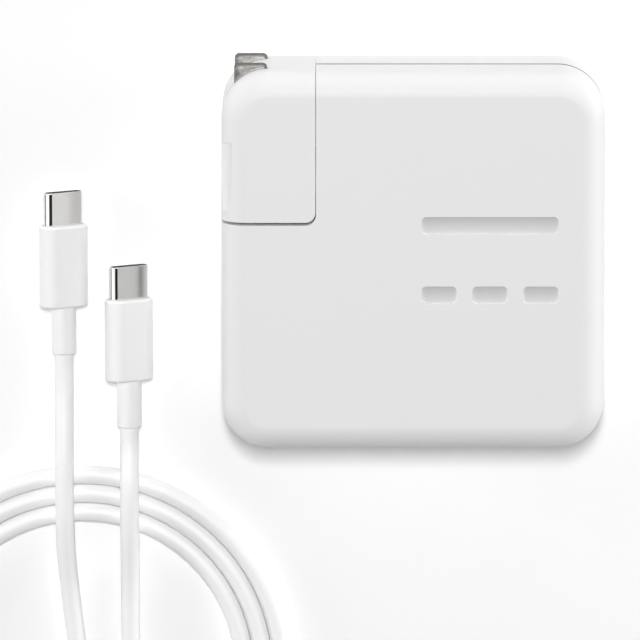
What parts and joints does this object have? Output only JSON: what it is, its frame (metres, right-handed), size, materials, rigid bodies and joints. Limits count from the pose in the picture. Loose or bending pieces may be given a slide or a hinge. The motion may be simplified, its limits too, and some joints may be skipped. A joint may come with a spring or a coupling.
{
  "type": "laptop power adapter",
  "caption": "Square white mains power adapter with folding blades on a slide-off plug module and a separate coiled charge lead with flat oval connectors.",
  "frame": {"origin": "centre of the rear face, on the surface that the adapter lies on", "axes": "+Z leaves the front face, +Y leaves the side with the plug module's top, +X leaves the side with the output socket"},
  "size_m": [0.1424, 0.1843, 0.0286],
  "materials": {
    "case_plastic": "white moulded polycarbonate, fine satin",
    "nylon": "natural glass-filled nylon",
    "black_plastic": "black moulded polyester",
    "nickel": "bright nickel plating",
    "blade_nickel": "nickel-plated brass, drawn",
    "steel": "zinc-plated steel",
    "brass": "pressed brass",
    "copper": "enamelled copper winding",
    "aluminium": "mill finish",
    "circuit_board": "green solder mask on glass epoxy",
    "ferrite": "pressed ferrite",
    "winding_tape": "polyester tape",
    "film_case": "epoxy-filled film capacitor case",
    "disc_coating": "epoxy dip",
    "can_sleeve": "shrunk capacitor sleeve",
    "fuse_glass": "ceramic fuse body",
    "brown_wire": "wire insulation",
    "blue_wire": "wire insulation",
    "cord_jacket": "white thermoplastic elastomer jacket, satin",
    "tie_strap": "white silicone strap"
  },
  "bodies": {
    "adapter": {"front_shell": "case_plastic", "rear_shell": "case_plastic", "rear_heat_spreader": "aluminium", "rear_insulating_sheet": "black_plastic", "front_heat_spreader": "aluminium", "front_insulating_sheet": "black_plastic", "inlet_housing": "black_plastic", "inlet_pin_near": "nickel", "inlet_pin_far": "nickel", "inlet_wire_near": "brown_wire", "inlet_wire_far": "blue_wire", "lock_stud": "nickel", "stud_plate": "steel", "socket_shell": "nickel", "socket_tongue": "black_plastic", "main_board": "circuit_board", "output_board": "circuit_board", "bulk_capacitor_1": "can_sleeve", "bulk_capacitor_2": "can_sleeve", "transformer_core": "ferrite", "transformer_winding": "winding_tape", "line_choke": "copper", "x_capacitor": "film_case", "fuse": "fuse_glass", "y_capacitor": "disc_coating", "bridge_rectifier": "black_plastic", "heat_plate": "aluminium", "power_transistor": "black_plastic", "output_rectifier": "black_plastic", "control_chip": "black_plastic", "optocoupler": "black_plastic", "output_choke": "copper", "output_capacitor_1": "aluminium", "output_capacitor_2": "aluminium", "cable_coil": "cord_jacket", "cable_tie": "tie_strap", "lead_a": "cord_jacket", "lead_b": "cord_jacket", "plug_a_strain_relief": "case_plastic", "plug_a_housing": "case_plastic", "plug_a_shell": "nickel", "plug_a_insert": "black_plastic", "plug_b_strain_relief": "case_plastic", "plug_b_housing": "case_plastic", "plug_b_shell": "nickel", "plug_b_insert": "black_plastic"},
    "plug_module": {"plug_housing": "case_plastic", "plug_carrier": "nylon", "plug_contact_near": "brass", "plug_contact_far": "brass"},
    "blades": {"blade_near": "blade_nickel", "blade_far": "blade_nickel", "blade_rotor": "black_plastic"}
  },
  "joints": [
    {"name": "module_slide", "type": "slide", "parent": "adapter", "child": "plug_module", "axis": [0, 1, 0], "range_m": [0, 0.035]},
    {"name": "blade_fold", "type": "hinge", "parent": "plug_module", "child": "blades", "pos_m": [-0.03143, 0.01473, 0.0143], "axis": [0, 0, 1], "range_deg": [0, 90]}
  ]
}
